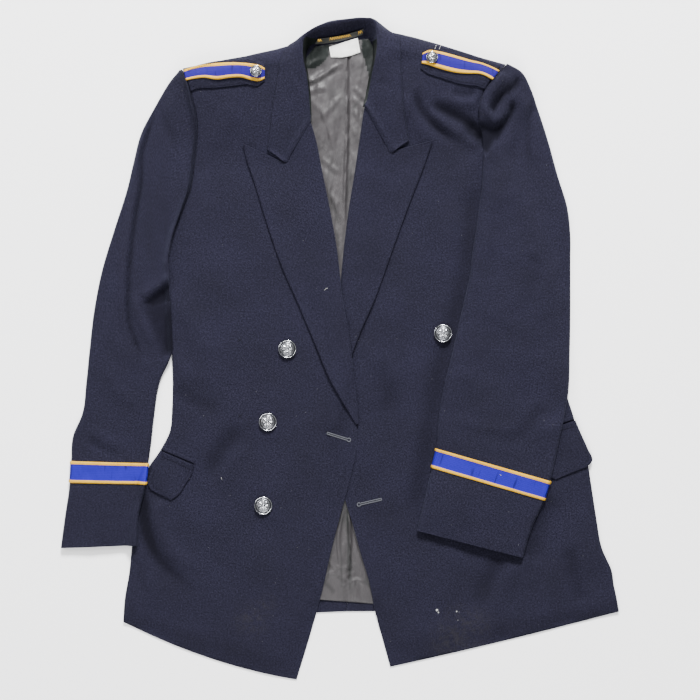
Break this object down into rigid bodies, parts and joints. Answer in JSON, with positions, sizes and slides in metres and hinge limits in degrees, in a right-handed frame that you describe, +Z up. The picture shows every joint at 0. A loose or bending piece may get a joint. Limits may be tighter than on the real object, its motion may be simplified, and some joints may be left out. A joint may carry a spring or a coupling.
{
  "type": "fire service dress jacket",
  "caption": "Navy double-breasted dress uniform jacket laid out flat, with peaked lapels, blue and gold braid on cuffs and shoulder straps, pocket flaps and domed metal buttons.",
  "frame": {"origin": "centre of the jacket's plan box, on the surface it lies on", "axes": "+X to the wearer's left, +Y from the hem to the collar, +Z up from the surface, out of the jacket's front"},
  "size_m": [0.744, 0.882, 0.0346],
  "materials": {
    "wool": "matt navy wool barathea",
    "lining": "satin, grey-brown",
    "braid": "ribbed blue braid with gold edges",
    "buttons": "polished, slightly worn",
    "label_dark": "dark woven satin, bare",
    "label_white": "white woven satin, bare"
  },
  "bodies": {
    "root": {"back_left": "wool", "back_lining": "lining", "back_right": "wool", "brand_label": "label_dark", "button_1": "buttons", "button_2": "buttons", "button_3": "buttons", "button_4": "buttons", "care_label": "label_white", "collar": "wool", "cuff_braid_left": "braid", "cuff_braid_right": "braid", "flap_left": "wool", "flap_right": "wool", "front_left": "wool", "front_right": "wool", "lapel_left": "wool", "lapel_right": "wool", "ribbon_left": "braid", "ribbon_right": "braid", "sleeve_left": "wool", "sleeve_right": "wool", "strap_button_left": "buttons", "strap_button_right": "buttons", "strap_left": "wool", "strap_right": "wool", "welt_left": "wool", "welt_right": "wool"}
  },
  "joints": []
}
